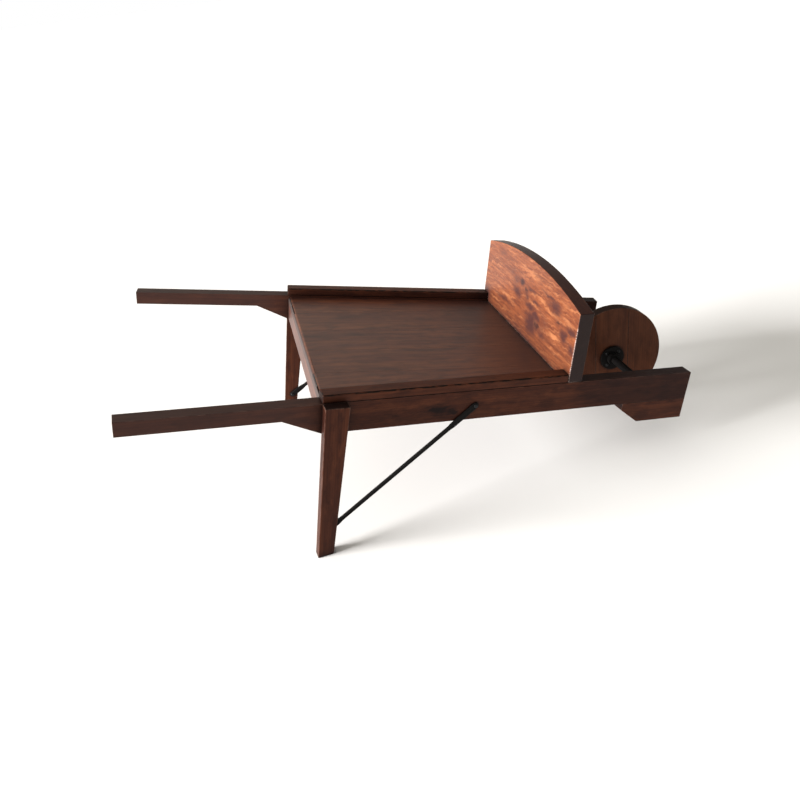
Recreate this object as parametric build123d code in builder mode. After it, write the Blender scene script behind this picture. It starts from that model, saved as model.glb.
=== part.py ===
from build123d import *
from math import asin, atan, atan2, cos, degrees, hypot, sin
import os

# A wooden wheelbarrow that stands on its two feet and its wheel.
# Row frame: +X towards the wheel, +Y towards the left-hand side, +Z up, the floor at Z = 0,
# origin under the middle of the bounding box.  All sizes are in millimetres.
# Most pieces are laid out in the deck frame: x along the barrow from the legs' rear edge,
# y to the left, z square to the deck and counted from the beams' straight top edge.

# --- Timber sections -------------------------------------------------------------------
beam_thickness = 35.0
beam_depth = 70.0
handle_depth = 33.0
nose_block_depth = 53.0
rail_height = 20.0
deck_thickness = 20.0
deck_drop = 5.0
cross_rail_width = 35.0
headboard_thickness = 36.0
leg_thickness = 25.0
wheel_thickness = 31.0

# --- Plan of the barrow ----------------------------------------------------------------
gauge_width = 710.0
beam_taper = 0.0925
handle_reach = 411.0
flare_length = 85.0
headboard_reach = 576.0
middle_rail_reach = 282.0
wheel_gap = 93.5
nose_overhang = 73.0
plank_count = 5
plank_gap = 0.4
nosing_radius = 8.0
largest_nosing = 0.45

# --- Nose block outline ----------------------------------------------------------------
nose_block_length = 179.0
nose_block_heel = 18.0
nose_chamfer_length = 50.0
block_screw_setbacks = (105.0, 24.0)

# --- Headboard -------------------------------------------------------------------------
headboard_end_height = 167.0
headboard_crown = 36.0

# --- Legs ------------------------------------------------------------------------------
leg_length = 379.0
leg_top_width = 54.0
leg_foot_width = 35.5
leg_foot_setback = 6.0

# --- Wheel, hub and axle ---------------------------------------------------------------
wheel_radius = 142.5
stave_count = 3
axle_radius = 10.0
axle_end_cover = 7.0
axle_end_play = 1.0
bush_wall = 3.0
bush_length = 26.0
flange_radius = 33.0
flange_thickness = 6.0
flange_screw_circle = 24.0
flange_screw_count = 4
hub_collar_wall = 7.0
hub_collar_length = 14.0

# --- Stays -----------------------------------------------------------------------------
stay_low = (17.0, -328.0)
stay_high = (349.0, -35.0)
stay_rod_radius = 5.0
stay_tab_width = 14.0
stay_tab_thickness = 5.0
stay_low_tab_length = 34.0
stay_high_tab_length = 64.0

# --- Fasteners -------------------------------------------------------------------------
screw_radius = 2.5
screw_head_radius = 4.8
screw_head_depth = 2.6
stay_screw_length = 24.0
leg_screw_length = 52.0
leg_screw_places = ((8.0, -48.0), (44.0, -34.0), (44.0, -60.0))
deck_screw_bite = 14.0
headboard_screw_bite = 40.0
headboard_screw_shift = 0.3
block_screw_bite = 30.0
flange_screw_radius = 2.4
flange_screw_head_radius = 4.5
flange_screw_head_height = 2.6
flange_screw_crown_radius = 2.7
flange_screw_brim_height = 0.91
flange_screw_length = 14.0
set_screw_radius = 3.0
cross_dowel_radius = 5.0
cross_dowel_length = 40.0
cross_dowel_setback = 21.7
cross_dowel_heights = (-37.0, -59.0)
rail_dowel_radius = 4.0
rail_dowel_length = 34.0
rail_dowel_count = 4
rail_dowel_rear_margin = 60.0
rail_dowel_front_margin = 36.0
wheel_dowel_radius = 4.0
wheel_dowel_length = 44.0
wheel_dowel_height = 72.0

# --- Clearances ------------------------------------------------------------------------
wood_fit = 0.1
running_fit = 0.06
bore_fit = 0.1

# --- The wheel clears the headboard, and the noses reach past the axle --------------------
axle_reach = headboard_reach + headboard_thickness + wheel_gap + wheel_radius
nose_reach = axle_reach + nose_overhang

# --- The stance: feet and wheel both touch the floor ------------------------------------
foot_to_axle_run = axle_reach + leg_foot_setback
foot_to_axle_rise = leg_length - beam_depth
foot_to_axle = hypot(foot_to_axle_run, foot_to_axle_rise)
stance = atan2(foot_to_axle_rise, foot_to_axle_run) - asin(wheel_radius / foot_to_axle)
taper_angle = atan(beam_taper)

deck_x = Vector(cos(stance), 0, -sin(stance))
deck_z = Vector(sin(stance), 0, cos(stance))
across = Vector(0, 1, 0)

# The bounding box runs from the handle ends' lower inner corner to the wheel's rim or the noses.
handle_end = (-handle_reach * cos(taper_angle) - beam_thickness * sin(taper_angle)) * cos(stance)
handle_end = handle_end - handle_depth * sin(stance)
nose_end = nose_reach * cos(taper_angle) * cos(stance)
wheel_end = axle_reach * cos(stance) - beam_depth * sin(stance) + wheel_radius
front_end = max(nose_end, wheel_end)
deck_origin = Vector(
    -(handle_end + front_end) / 2,
    0,
    leg_length * cos(stance) - leg_foot_setback * sin(stance),
)


def in_deck(x, y, z):
    """The point of the row frame that has these deck coordinates."""
    return deck_origin + deck_x * x + across * y + deck_z * z


def level(z):
    """A plane along the deck, z above the beams' top edge: x forward, y left."""
    return Plane(origin=in_deck(0, 0, z), x_dir=deck_x, z_dir=deck_z)


def upright(x):
    """A plane square to the deck across the barrow, facing forward: x left, y up."""
    return Plane(origin=in_deck(x, 0, 0), x_dir=across, z_dir=deck_x)


# The right-hand beam's outer face: x forward along the beam, y up, facing outward.
side_x = deck_x * cos(taper_angle) + across * sin(taper_angle)
side_out = deck_x * sin(taper_angle) - across * cos(taper_angle)
side_face = Plane(origin=in_deck(0, -gauge_width / 2, 0), x_dir=side_x, z_dir=side_out)


def on_side(x, z, out=0.0):
    """A plane parallel to the beam's outer face, centred on a point of it and moved outward."""
    point = side_face.origin + side_x * x + deck_z * z + side_out * out
    return Plane(origin=point, x_dir=side_x, z_dir=side_out)


def facing_in(plane):
    """The same plane turned to face the other way."""
    return Plane(origin=plane.origin, x_dir=plane.x_dir, z_dir=-plane.z_dir)


def outer_half(x):
    """Half the width over the beams' outer faces, x along the barrow."""
    return gauge_width / 2 - beam_taper * x


def inner_half(x):
    """Half the width between the beams' inner faces."""
    return outer_half(x) - beam_thickness / cos(taper_angle)


# --- Fasteners and holes: every plane's normal is the way the fastener is driven ---------
def pegs(planes, radius, length, mode=Mode.ADD):
    """Round pegs, or the holes for them."""
    for plane in planes:
        with BuildSketch(plane) as section:
            Circle(radius)
        extrude(section.sketch, amount=length, mode=mode)


def turned(plane, outline, mode=Mode.ADD):
    """A turned shape about the plane's normal: outline holds (radius, depth) points."""
    with BuildSketch(Plane(plane.origin, x_dir=plane.x_dir, z_dir=-plane.y_dir)) as section:
        with BuildLine():
            Polyline(*outline, close=True)
        make_face()
    revolve(section.sketch, axis=Axis(plane.origin, plane.z_dir), mode=mode)


def sunk_screws(planes, length, ease=0.0, mode=Mode.ADD):
    """Countersunk wood screws flush with each plane, or with an ease the holes for them."""
    shank = screw_radius + ease
    outline = [
        (0, 0),
        (screw_head_radius + ease, 0),
        (shank, screw_head_depth),
        (shank, length + ease),
        (0, length + ease),
    ]
    for plane in planes:
        turned(plane, outline, mode)


def pan_screws(planes, length):
    """Screws whose low domed heads sit on each plane."""
    outline = [
        (0, -flange_screw_head_height),
        (flange_screw_crown_radius, -flange_screw_head_height),
        (flange_screw_head_radius, -flange_screw_brim_height),
        (flange_screw_head_radius, 0),
        (flange_screw_radius, 0),
        (flange_screw_radius, length),
        (0, length),
    ]
    for plane in planes:
        turned(plane, outline)


def pan_holes(planes, length):
    """The holes that take the domed screws' shanks."""
    pegs(planes, flange_screw_radius + wood_fit, length + wood_fit, Mode.SUBTRACT)


def both_sides(planes):
    """The planes, and their mirror images on the left-hand side."""
    twins = []
    for plane in planes:
        origin, x_dir, z_dir = (
            Vector(v.X, -v.Y, v.Z) for v in (plane.origin, plane.x_dir, plane.z_dir)
        )
        twins.append(Plane(origin=origin, x_dir=x_dir, z_dir=z_dir))
    return planes + twins


def left_of(right_piece):
    """The left-hand twin of a right-hand piece."""
    with BuildPart() as left_piece:
        mirror(right_piece.part, about=Plane.XZ)
    return left_piece


# --- Where the fasteners go ---------------------------------------------------------------
cross_rail_top = -deck_drop - deck_thickness
cross_rail_depth = beam_depth + cross_rail_top
cross_rail_reaches = {
    "rear_apron": 0.0,
    "middle_cross_rail": middle_rail_reach,
    "front_cross_rail": headboard_reach,
}


def cross_dowel_planes(reach):
    """Dowels between the right-hand beam and a cross rail, driven to the left."""
    x = reach + cross_dowel_setback
    y = -inner_half(x) - cross_dowel_length / 2
    return [Plane(in_deck(x, y, z), x_dir=deck_x, z_dir=across) for z in cross_dowel_heights]


def seam(index, x):
    """Sideways place of a plank's edge: the outer edges follow the beams, the rest run straight."""
    if index == 0:
        return -inner_half(x)
    if index == plank_count:
        return inner_half(x)
    return inner_half(0) * (2 * index / plank_count - 1)


def deck_screw_planes(reach):
    """One screw up through a cross rail into each plank."""
    x = reach + cross_rail_width / 2
    planes = []
    for index in range(plank_count):
        y = (seam(index, x) + seam(index + 1, x)) / 2
        planes.append(Plane(in_deck(x, y, -beam_depth), x_dir=deck_x, z_dir=deck_z))
    return planes


def headboard_screw_planes():
    """Long screws up through the front cross rail and the deck into the headboard."""
    x = headboard_reach + cross_rail_width / 2
    pitch = 2 * inner_half(0) / plank_count
    places = [side * pitch * (row + headboard_screw_shift) for row in (0, 1) for side in (-1, 1)]
    return [Plane(in_deck(x, y, -beam_depth), x_dir=deck_x, z_dir=deck_z) for y in places]


leg_screw_planes = [on_side(x, z, -beam_thickness) for x, z in leg_screw_places]
rail_dowel_run = headboard_reach - rail_dowel_rear_margin - rail_dowel_front_margin
rail_dowel_places = [
    rail_dowel_rear_margin + rail_dowel_run * index / (rail_dowel_count - 1)
    for index in range(rail_dowel_count)
]
rail_dowel_planes = [
    Plane(on_side(x, -rail_dowel_length / 2, -beam_thickness / 2).origin, x_dir=side_x, z_dir=deck_z)
    for x in rail_dowel_places
]
block_screw_planes = [
    Plane(
        on_side(x, -beam_depth - nose_block_depth, -beam_thickness / 2).origin,
        x_dir=side_x,
        z_dir=deck_z,
    )
    for x in (nose_reach - setback for setback in block_screw_setbacks)
]
stay_low_plane = on_side(*stay_low, -stay_tab_thickness)
stay_high_plane = facing_in(on_side(*stay_high, stay_tab_thickness))

deck_screw_length = cross_rail_depth + deck_screw_bite
headboard_screw_length = cross_rail_depth + deck_thickness + headboard_screw_bite
block_screw_length = nose_block_depth + block_screw_bite
axle_end = outer_half(axle_reach) - axle_end_cover
bush_radius = axle_radius + running_fit + bush_wall
bush_plane = Plane(in_deck(axle_reach, -axle_end, -beam_depth), x_dir=(1, 0, 0), z_dir=across)

# --- Side beams: handle, body and nose in one board ---------------------------------------
with BuildPart() as right_beam:
    with BuildSketch(side_face):
        with BuildLine():
            Polyline(
                (-handle_reach, 0),
                (nose_reach, 0),
                (nose_reach, -beam_depth),
                (0, -beam_depth),
                (-flare_length, -handle_depth),
                (-handle_reach, -handle_depth),
                close=True,
            )
        make_face()
    extrude(amount=-beam_thickness)
    pegs([bush_plane], bush_radius + wood_fit, beam_thickness * 2, Mode.SUBTRACT)
    for reach in cross_rail_reaches.values():
        pegs(cross_dowel_planes(reach), cross_dowel_radius + wood_fit, cross_dowel_length, Mode.SUBTRACT)
    pegs(rail_dowel_planes, rail_dowel_radius + wood_fit, rail_dowel_length, Mode.SUBTRACT)
    sunk_screws(leg_screw_planes, leg_screw_length, wood_fit, Mode.SUBTRACT)
    sunk_screws(block_screw_planes, block_screw_length, wood_fit, Mode.SUBTRACT)
    pan_holes([stay_high_plane], stay_screw_length)

# --- Nose blocks: glued and screwed under the beams, they close the axle's bearings --------
with BuildPart() as right_nose_block:
    with BuildSketch(side_face):
        with BuildLine():
            Polyline(
                (nose_reach - nose_block_length, -beam_depth),
                (nose_reach, -beam_depth),
                (nose_reach, -beam_depth - nose_block_depth),
                (nose_reach - nose_block_length + nose_chamfer_length, -beam_depth - nose_block_depth),
                (nose_reach - nose_block_length, -beam_depth - nose_block_heel),
                close=True,
            )
        make_face()
    extrude(amount=-beam_thickness)
    pegs([bush_plane], bush_radius + wood_fit, beam_thickness * 2, Mode.SUBTRACT)
    sunk_screws(block_screw_planes, block_screw_length, wood_fit, Mode.SUBTRACT)

# --- Side rails: low lips on the beams, from the rear edge to the headboard ----------------
with BuildPart() as right_side_rail:
    with BuildSketch(side_face):
        with Locations((headboard_reach / 2 + beam_thickness / 2, rail_height / 2)):
            Rectangle(headboard_reach + beam_thickness, rail_height)
    extrude(amount=-beam_thickness)
    split(bisect_by=upright(headboard_reach), keep=Keep.BOTTOM)
    pegs(rail_dowel_planes, rail_dowel_radius + wood_fit, rail_dowel_length, Mode.SUBTRACT)

# --- Legs: tapered boards on the beams' outer faces, soles cut level on the floor ----------
sole_depth = leg_length + leg_foot_width
narrowing = (leg_top_width - leg_foot_width + leg_foot_setback) / leg_length
with BuildPart() as right_leg:
    with BuildSketch(side_face):
        with BuildLine():
            Polyline(
                (0, 0),
                (leg_top_width, 0),
                (leg_top_width - narrowing * sole_depth, -sole_depth),
                (-leg_foot_setback * sole_depth / leg_length, -sole_depth),
                close=True,
            )
        make_face()
    extrude(amount=leg_thickness)
    split(bisect_by=Plane.XY)
    sunk_screws(leg_screw_planes, leg_screw_length, wood_fit, Mode.SUBTRACT)
    pan_holes([stay_low_plane], stay_screw_length)

# --- Stays: an iron rod with a flattened lug at each end ------------------------------------
stay_run = Vector(stay_high[0] - stay_low[0], stay_high[1] - stay_low[1])
stay_way = stay_run.normalized()
stay_angle = degrees(atan2(stay_run.Y, stay_run.X))
low_lug_end = Vector(*stay_low) + stay_way * stay_low_tab_length
high_lug_end = Vector(*stay_high) - stay_way * stay_high_tab_length
low_lug_middle = Vector(*stay_low) + stay_way * (stay_low_tab_length / 2)
high_lug_middle = Vector(*stay_high) - stay_way * (stay_high_tab_length / 2)
with BuildPart() as right_stay:
    with BuildSketch(side_face):
        with Locations((low_lug_middle.X, low_lug_middle.Y)):
            SlotCenterToCenter(stay_low_tab_length, stay_tab_width, rotation=stay_angle)
    extrude(amount=-stay_tab_thickness)
    with BuildSketch(side_face):
        with Locations((high_lug_middle.X, high_lug_middle.Y)):
            SlotCenterToCenter(stay_high_tab_length, stay_tab_width, rotation=stay_angle)
    extrude(amount=stay_tab_thickness)
    rod_start = on_side(low_lug_end.X, low_lug_end.Y, -stay_tab_thickness / 2).origin
    rod_finish = on_side(high_lug_end.X, high_lug_end.Y, stay_tab_thickness / 2).origin
    pegs([Plane(rod_start, z_dir=rod_finish - rod_start)], stay_rod_radius, (rod_finish - rod_start).length)
    pan_holes([stay_low_plane, stay_high_plane], stay_screw_length)

# --- Deck planks, lengthwise between the beams, their rear edge rounded --------------------
deck_length = headboard_reach + headboard_thickness
rear_nosing = min(nosing_radius, largest_nosing * deck_thickness)
along_deck = Axis(deck_origin, deck_x)
square_to_deck = Axis(deck_origin, deck_z)


def deck_plank(index):
    """One plank of the deck, counted from the right."""
    right_inset = plank_gap / 2 if index > 0 else 0.0
    left_inset = plank_gap / 2 if index < plank_count - 1 else 0.0
    with BuildPart() as plank:
        with BuildSketch(level(-deck_drop)):
            with BuildLine():
                Polyline(
                    (0, seam(index, 0) + right_inset),
                    (deck_length, seam(index, deck_length) + right_inset),
                    (deck_length, seam(index + 1, deck_length) - left_inset),
                    (0, seam(index + 1, 0) - left_inset),
                    close=True,
                )
            make_face()
        extrude(amount=-deck_thickness)
        rear_edges = plank.edges().filter_by(Axis.Y).sort_by(along_deck)[:2]
        fillet(rear_edges.sort_by(square_to_deck)[-1], rear_nosing)
        for reach in cross_rail_reaches.values():
            sunk_screws(deck_screw_planes(reach), deck_screw_length, wood_fit, Mode.SUBTRACT)
        sunk_screws(headboard_screw_planes(), headboard_screw_length, wood_fit, Mode.SUBTRACT)
    return plank


# --- Cross rails under the deck --------------------------------------------------------------
def cross_rail(reach):
    """A rail between the beams, its ends cut to their taper."""
    front = reach + cross_rail_width
    with BuildPart() as rail:
        with BuildSketch(level(cross_rail_top)):
            with BuildLine():
                Polyline(
                    (reach, -inner_half(reach)),
                    (front, -inner_half(front)),
                    (front, inner_half(front)),
                    (reach, inner_half(reach)),
                    close=True,
                )
            make_face()
        extrude(amount=-cross_rail_depth)
        dowels = both_sides(cross_dowel_planes(reach))
        pegs(dowels, cross_dowel_radius + wood_fit, cross_dowel_length, Mode.SUBTRACT)
        sunk_screws(deck_screw_planes(reach), deck_screw_length, wood_fit, Mode.SUBTRACT)
        if reach == headboard_reach:
            sunk_screws(headboard_screw_planes(), headboard_screw_length, wood_fit, Mode.SUBTRACT)
    return rail


# --- Headboard: arched top, standing on the beams and the deck --------------------------------
with BuildPart() as headboard:
    board_half = outer_half(headboard_reach)
    foot_half = inner_half(deck_length)
    with BuildSketch(upright(headboard_reach)):
        with BuildLine():
            foot = Polyline(
                (-board_half, headboard_end_height),
                (-board_half, 0),
                (-foot_half, 0),
                (-foot_half, -deck_drop),
                (foot_half, -deck_drop),
                (foot_half, 0),
                (board_half, 0),
                (board_half, headboard_end_height),
            )
            crown = (0, headboard_end_height + headboard_crown)
            ThreePointArc(foot @ 1, crown, foot @ 0)
        make_face()
    extrude(amount=headboard_thickness)
    with BuildSketch(level(-deck_drop)):
        with BuildLine():
            Polyline(
                (headboard_reach, -board_half),
                (deck_length, -outer_half(deck_length)),
                (deck_length, outer_half(deck_length)),
                (headboard_reach, board_half),
                close=True,
            )
        make_face()
    extrude(amount=headboard_end_height + headboard_crown + deck_drop, mode=Mode.INTERSECT)
    sunk_screws(headboard_screw_planes(), headboard_screw_length, wood_fit, Mode.SUBTRACT)

# --- Wheel: three staves glued edge to edge, dowelled, with an iron hub flange on each side ---
wheel_middle = Plane(in_deck(axle_reach, 0, -beam_depth), x_dir=(1, 0, 0), z_dir=(0, -1, 0))
stave_width = 2 * wheel_radius / stave_count
stave_names = ["wheel_stave_rear", "wheel_stave_middle", "wheel_stave_front"]
wheel_seams = [stave_width * (index + 1) - wheel_radius for index in range(stave_count - 1)]
wheel_dowel_planes = [
    Plane(
        wheel_middle.origin + Vector(x - wheel_dowel_length / 2, 0, z),
        x_dir=(0, 1, 0),
        z_dir=(1, 0, 0),
    )
    for x in wheel_seams
    for z in (-wheel_dowel_height, wheel_dowel_height)
]
hub_face = wheel_middle.offset(wheel_thickness / 2)
flange_screw_planes = []
with Locations(hub_face.offset(flange_thickness)):
    turn = 180 / flange_screw_count
    with PolarLocations(flange_screw_circle, flange_screw_count, start_angle=turn) as screw_places:
        for place in screw_places.locations:
            flange_screw_planes.append(facing_in(Plane(place)))
axle_plane = Plane(in_deck(axle_reach, axle_end_play - axle_end, -beam_depth), z_dir=across)
hub_bore = axle_radius + bore_fit
hub_collar_radius = axle_radius + hub_collar_wall
set_screw_plane = Plane(
    hub_face.origin - across * (flange_thickness + hub_collar_length / 2) + Vector(0, 0, axle_radius),
    z_dir=(0, 0, 1),
)
set_screw_length = hub_collar_radius - axle_radius


def wheel_stave(index):
    """One upright board of the wheel, counted from the rear."""
    middle = stave_width * (index + 0.5) - wheel_radius
    with BuildPart() as stave:
        with BuildSketch(wheel_middle):
            Circle(wheel_radius)
            with Locations((middle, 0)):
                Rectangle(stave_width, 2 * wheel_radius, mode=Mode.INTERSECT)
        extrude(amount=wheel_thickness / 2, both=True)
        pegs([axle_plane], hub_bore, 2 * axle_end, Mode.SUBTRACT)
        pegs(wheel_dowel_planes, wheel_dowel_radius + wood_fit, wheel_dowel_length, Mode.SUBTRACT)
        pan_holes(both_sides(flange_screw_planes), flange_screw_length)
    return stave


with BuildPart() as right_hub_flange:
    with BuildSketch(hub_face):
        Circle(flange_radius)
    extrude(amount=flange_thickness)
    with BuildSketch(hub_face.offset(flange_thickness)):
        Circle(hub_collar_radius)
    extrude(amount=hub_collar_length)
    pegs([axle_plane], hub_bore, 2 * axle_end, Mode.SUBTRACT)
    pegs([set_screw_plane], set_screw_radius + wood_fit, set_screw_length * 2, Mode.SUBTRACT)
    pan_holes(flange_screw_planes, flange_screw_length)

with BuildPart() as axle:
    pegs([axle_plane], axle_radius, 2 * (axle_end - axle_end_play))

with BuildPart() as right_bush:
    pegs([bush_plane], bush_radius, bush_length)
    pegs([bush_plane], axle_radius + running_fit, bush_length, Mode.SUBTRACT)

# --- Fasteners, each kind in one group ----------------------------------------------------------
with BuildPart() as cross_rail_dowels:
    for reach in cross_rail_reaches.values():
        pegs(both_sides(cross_dowel_planes(reach)), cross_dowel_radius, cross_dowel_length)

with BuildPart() as rail_dowels:
    pegs(both_sides(rail_dowel_planes), rail_dowel_radius, rail_dowel_length)

with BuildPart() as wheel_dowels:
    pegs(wheel_dowel_planes, wheel_dowel_radius, wheel_dowel_length)

with BuildPart() as leg_screws:
    sunk_screws(both_sides(leg_screw_planes), leg_screw_length)

with BuildPart() as deck_screws:
    for reach in cross_rail_reaches.values():
        sunk_screws(deck_screw_planes(reach), deck_screw_length)

with BuildPart() as headboard_screws:
    sunk_screws(headboard_screw_planes(), headboard_screw_length)

with BuildPart() as nose_block_screws:
    sunk_screws(both_sides(block_screw_planes), block_screw_length)

with BuildPart() as stay_screws:
    pan_screws(both_sides([stay_low_plane, stay_high_plane]), stay_screw_length)

with BuildPart() as hub_screws:
    pan_screws(both_sides(flange_screw_planes), flange_screw_length)

with BuildPart() as hub_set_screws:
    pegs(both_sides([set_screw_plane]), set_screw_radius, set_screw_length)

# --- Every piece under its own name ---------------------------------------------------------------
pieces = {
    "headboard": headboard,
    "axle": axle,
    "cross_rail_dowels": cross_rail_dowels,
    "rail_dowels": rail_dowels,
    "wheel_dowels": wheel_dowels,
    "leg_screws": leg_screws,
    "deck_screws": deck_screws,
    "headboard_screws": headboard_screws,
    "nose_block_screws": nose_block_screws,
    "stay_screws": stay_screws,
    "hub_screws": hub_screws,
    "hub_set_screws": hub_set_screws,
}
sided_pieces = {
    "beam": right_beam,
    "nose_block": right_nose_block,
    "side_rail": right_side_rail,
    "leg": right_leg,
    "stay": right_stay,
    "bush": right_bush,
    "hub_flange": right_hub_flange,
}
for name, right_piece in sided_pieces.items():
    pieces[f"right_{name}"] = right_piece
    pieces[f"left_{name}"] = left_of(right_piece)
for index in range(plank_count):
    pieces[f"deck_plank_{index + 1}"] = deck_plank(index)
for name, reach in cross_rail_reaches.items():
    pieces[name] = cross_rail(reach)
for index, name in enumerate(stave_names):
    pieces[name] = wheel_stave(index)

os.makedirs("parts", exist_ok=True)
for name, piece in pieces.items():
    piece.part.label = name
    export_step(piece.part, f"parts/{name}.step")
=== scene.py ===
import math
import random

import bmesh
import bpy
from mathutils import Matrix, Vector


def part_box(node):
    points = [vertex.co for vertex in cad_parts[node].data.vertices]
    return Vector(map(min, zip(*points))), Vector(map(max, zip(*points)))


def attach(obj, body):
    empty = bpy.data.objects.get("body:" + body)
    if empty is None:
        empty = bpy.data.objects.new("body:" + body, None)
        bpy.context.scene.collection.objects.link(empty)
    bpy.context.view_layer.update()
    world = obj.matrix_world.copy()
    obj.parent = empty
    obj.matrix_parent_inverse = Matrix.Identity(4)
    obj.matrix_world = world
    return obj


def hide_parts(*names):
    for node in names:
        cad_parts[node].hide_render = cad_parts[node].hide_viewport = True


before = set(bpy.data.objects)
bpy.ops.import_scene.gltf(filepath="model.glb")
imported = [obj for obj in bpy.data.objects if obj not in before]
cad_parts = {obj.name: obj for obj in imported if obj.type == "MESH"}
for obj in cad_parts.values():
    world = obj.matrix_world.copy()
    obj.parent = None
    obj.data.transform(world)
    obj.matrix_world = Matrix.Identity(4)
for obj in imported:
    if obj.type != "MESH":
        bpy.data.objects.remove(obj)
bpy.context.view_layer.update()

# A stained and varnished wheelbarrow: boards with softened arrises, black iron stays and hub.
# Every board is dressed from its own rough shape in the frame and painted along its own grain.
MM = 0.001

# --- Joinery sizes, in metres -----------------------------------------------------------------
SMALLEST_ARRIS_EDGE = 4.0 * MM
WELD = 0.01 * MM
SHARP_ANGLE = math.radians(25)
SMOOTH_ANGLE = math.radians(40)
FLAT_ANGLE = math.radians(0.4)
ARC_STEP = 4.0 * MM
ARC_SAG = 0.5 * MM
ON_ARC = 0.05 * MM
NEAR_ARC = 0.4 * MM
CORNER_REACH = 0.1 * MM
ARRIS_STEPS = 3
END_GRAIN_COSINE = 0.7
EDGE_COSINE = 0.5

# --- Ironmongery sizes, in metres -------------------------------------------------------------
IRON_ROUND = 0.7 * MM
IRON_STEPS = 2
ROD_RADIUS = 5.0 * MM
LUG_HALF_THICKNESS = 2.5 * MM
LOW_LUG = 34.0 * MM
HIGH_LUG = 64.0 * MM
LUG_FADE = 16.0 * MM
LUG_SQUARENESS = 0.42
LUG_TIP_ANGLES = (9, 20, 32, 45, 58, 71, 85)
STAY_RUNS = 60
ROUND_STEPS = 24
DOMED_HEAD = (4.5 * MM, 2.6 * MM)
DOME_SKIRT = 0.25
SUNK_HEAD = (4.8 * MM, 2.6 * MM)
SUNK_EDGE = 0.2 * MM
GRUB_CHAMFER = 0.4 * MM
GRUB_POINT = 0.6 * MM
SLOT_HALF_WIDTH = 0.5 * MM
DOMED_SLOT_DEPTH = 1.3 * MM
GRUB_SLOT_DEPTH = 1.5 * MM
CROSS_HALF_LENGTH = 2.6 * MM
CROSS_DEPTH = 1.7 * MM
SLOT_TAPER = 0.7

# A wood screw's shank: its plain share of the length, its point and its thread's root by its
# radius, and the thread's lead and flank by the pitch.
SHANK_PLAIN = 0.35
SHANK_POINT = 1.6
THREAD_PITCH = 2.4 * MM
THREAD_ROOT = 0.72
THREAD_LEAD = 0.3
THREAD_FLANK = 0.35

random.seed(21)


# --- Shader maths -----------------------------------------------------------------------------
class Value:
    """A number that varies over a surface. Arithmetic on it adds Math nodes."""

    def __init__(self, paint, socket):
        self.paint = paint
        self.socket = socket

    def math(self, operation, first, second):
        return self.paint.node("ShaderNodeMath", {"operation": operation}, {0: first, 1: second})

    def __add__(self, other):
        return self.math("ADD", self, other)

    def __radd__(self, other):
        return self.math("ADD", other, self)

    def __sub__(self, other):
        return self.math("SUBTRACT", self, other)

    def __rsub__(self, other):
        return self.math("SUBTRACT", other, self)

    def __mul__(self, other):
        return self.math("MULTIPLY", self, other)

    def __rmul__(self, other):
        return self.math("MULTIPLY", other, self)

    def __truediv__(self, other):
        return self.math("DIVIDE", self, other)

    def __rtruediv__(self, other):
        return self.math("DIVIDE", other, self)

    def __pow__(self, other):
        return self.math("POWER", self, other)

    def bigger(self, other):
        return self.math("MAXIMUM", self, other)

    def within_one(self):
        return self.math("FRACT", self, 0.0)

    def between(self, low, high):
        """0 below low, 1 above high, with a soft step between."""
        return self.paint.node(
            "ShaderNodeMapRange",
            {"interpolation_type": "SMOOTHSTEP"},
            {"Value": self, "From Min": low, "From Max": high},
        )


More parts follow.
